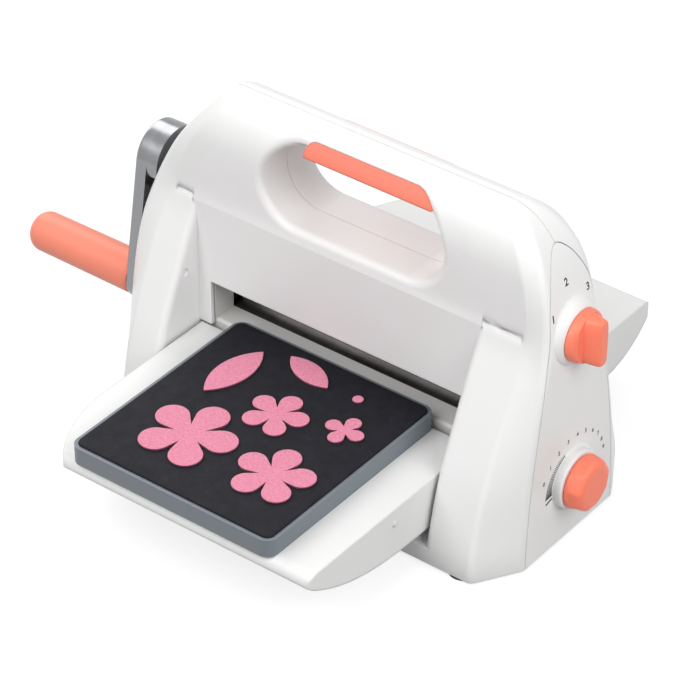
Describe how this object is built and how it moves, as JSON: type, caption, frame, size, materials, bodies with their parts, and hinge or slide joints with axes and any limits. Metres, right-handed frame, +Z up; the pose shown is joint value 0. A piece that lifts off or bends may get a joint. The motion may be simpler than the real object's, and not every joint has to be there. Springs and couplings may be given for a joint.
{
  "type": "die cutting and embossing machine",
  "caption": "Hand cranked die cutting and embossing machine with folding feed flaps, a roller pair behind the slot, two side dials and a cutting die on the front flap.",
  "frame": {"origin": "on the bench plane, under the middle of the whole machine's bounding box with both flaps open; the middle of the feed slot lies 32.8 mm to +X and 8.8 mm to +Y of it", "axes": "+X to the right seen from the front (crank at -X, dials at +X), -Y out of the front flap, +Z up"},
  "size_m": [0.3864, 0.3216, 0.2061],
  "materials": {
    "shell_plastic": "satin",
    "panel_plastic": "satin",
    "cover_plastic": "satin",
    "flap_plastic": "satin",
    "bed_plastic": "satin",
    "base_plastic": "matte",
    "foot_rubber": "matte",
    "insert_coral": "soft touch",
    "knob_coral": "satin",
    "grip_coral": "satin",
    "ring_plastic": "satin",
    "frame_steel": "zinc plated",
    "pin_steel": "bright",
    "roller_steel": "blackened",
    "gear_steel": "sintered",
    "block_nylon": "matte",
    "screw_steel": "zinc plated",
    "arm_metal": "brushed satin",
    "cam_nylon": "matte",
    "tray_plastic": "satin",
    "foam_black": "closed cell foam",
    "felt_pink": "wool felt"
  },
  "bodies": {
    "housing": {"front_shell": "shell_plastic", "rear_shell": "shell_plastic", "right_side_panel": "panel_plastic", "left_side_cover": "cover_plastic", "base_plate": "base_plastic", "rubber_feet": "foot_rubber", "base_screws": "screw_steel", "handle_grip_insert": "insert_coral", "hinge_pins": "pin_steel", "left_frame_plate": "frame_steel", "right_frame_plate": "frame_steel", "tie_rods": "pin_steel", "tie_rod_screws": "screw_steel", "front_bed": "bed_plastic", "rear_bed": "bed_plastic", "dial_ring": "ring_plastic"},
    "front_flap_body": {"front_flap": "flap_plastic"},
    "rear_flap_body": {"rear_flap": "flap_plastic"},
    "crank": {"crank_shaft": "pin_steel", "crank_pinion": "gear_steel", "crank_arm": "arm_metal", "crank_bolt": "screw_steel", "grip_spindle": "pin_steel"},
    "crank_handle": {"crank_grip": "grip_coral"},
    "upper_blocks": {"upper_bearing_blocks": "block_nylon"},
    "upper_roll": {"upper_roller": "roller_steel", "upper_roller_gear": "gear_steel", "drive_gear": "gear_steel"},
    "lower_blocks": {"lower_bearing_blocks": "block_nylon"},
    "lower_roll": {"lower_roller": "roller_steel", "lower_roller_gear": "gear_steel"},
    "selector": {"selector_knob": "knob_coral", "selector_spindle": "pin_steel", "selector_gear": "cam_nylon"},
    "selector_cams": {"selector_cam_shaft": "cam_nylon", "selector_cam_gear": "cam_nylon"},
    "dial": {"pressure_knob": "knob_coral", "pressure_spindle": "pin_steel", "pressure_gear": "cam_nylon"},
    "pressure_cams": {"pressure_cam_shaft": "cam_nylon", "pressure_cam_gear": "cam_nylon"},
    "die": {"die_tray": "tray_plastic", "die_foam": "foam_black", "die_felt_shapes": "felt_pink"}
  },
  "joints": [
    {"name": "front_flap_hinge", "type": "hinge", "parent": "housing", "child": "front_flap_body", "pos_m": [0.0328, -0.0322, 0.039], "axis": [-1, 0, 0], "range_deg": [0, 90]},
    {"name": "rear_flap_hinge", "type": "hinge", "parent": "housing", "child": "rear_flap_body", "pos_m": [0.0328, 0.0498, 0.039], "axis": [1, 0, 0], "range_deg": [0, 90]},
    {"name": "crank_turn", "type": "hinge", "parent": "housing", "child": "crank", "pos_m": [-0.1072, 0.0088, 0.13825], "axis": [1, 0, 0], "continuous": true},
    {"name": "grip_spin", "type": "hinge", "parent": "crank", "child": "crank_handle", "pos_m": [-0.1472, -0.01112, 0.06232], "axis": [1, 0, 0], "continuous": true},
    {"name": "upper_block_slide", "type": "slide", "parent": "housing", "child": "upper_blocks", "axis": [0, 0, 1], "range_m": [0, 0.002]},
    {"name": "upper_roller_turn", "type": "hinge", "parent": "upper_blocks", "child": "upper_roll", "pos_m": [0.0328, 0.0088, 0.08375], "axis": [1, 0, 0], "continuous": true},
    {"name": "lower_block_slide", "type": "slide", "parent": "housing", "child": "lower_blocks", "axis": [0, 0, -1], "range_m": [0, 0.0012]},
    {"name": "lower_roller_turn", "type": "hinge", "parent": "lower_blocks", "child": "lower_roll", "pos_m": [0.0328, 0.0088, 0.04625], "axis": [1, 0, 0], "continuous": true},
    {"name": "selector_turn", "type": "hinge", "parent": "housing", "child": "selector", "pos_m": [0.1828, 0.0088, 0.13825], "axis": [1, 0, 0], "range_deg": [0, 90]},
    {"name": "selector_cam_turn", "type": "hinge", "parent": "housing", "child": "selector_cams", "pos_m": [0.0328, 0.0088, 0.107], "axis": [1, 0, 0], "range_deg": [-42.4, 0]},
    {"name": "dial_turn", "type": "hinge", "parent": "housing", "child": "dial", "pos_m": [0.1828, 0.0088, 0.04125], "axis": [1, 0, 0], "range_deg": [0, 270]},
    {"name": "pressure_cam_turn", "type": "hinge", "parent": "housing", "child": "pressure_cams", "pos_m": [0.0328, 0.0088, 0.02], "axis": [1, 0, 0], "range_deg": [-147.3, 0]},
    {"name": "die_lift", "type": "slide", "parent": "housing", "child": "die", "axis": [0, -0.2588, 0.9659], "range_m": [0, 0.2097]}
  ],
  "couplings": [
    {"joint": "selector_turn", "follows": "upper_block_slide", "rad_per_m": 785.39},
    {"joint": "selector_cam_turn", "follows": "upper_block_slide", "rad_per_m": -369.6},
    {"joint": "dial_turn", "follows": "lower_block_slide", "rad_per_m": 3926.9},
    {"joint": "pressure_cam_turn", "follows": "lower_block_slide", "rad_per_m": -2141.9},
    {"joint": "upper_roller_turn", "follows": "crank_turn", "ratio": -0.4},
    {"joint": "lower_roller_turn", "follows": "crank_turn", "ratio": 0.4},
    {"joint": "die_lift", "follows": "front_flap_hinge", "m_per_rad": 0.1335}
  ]
}
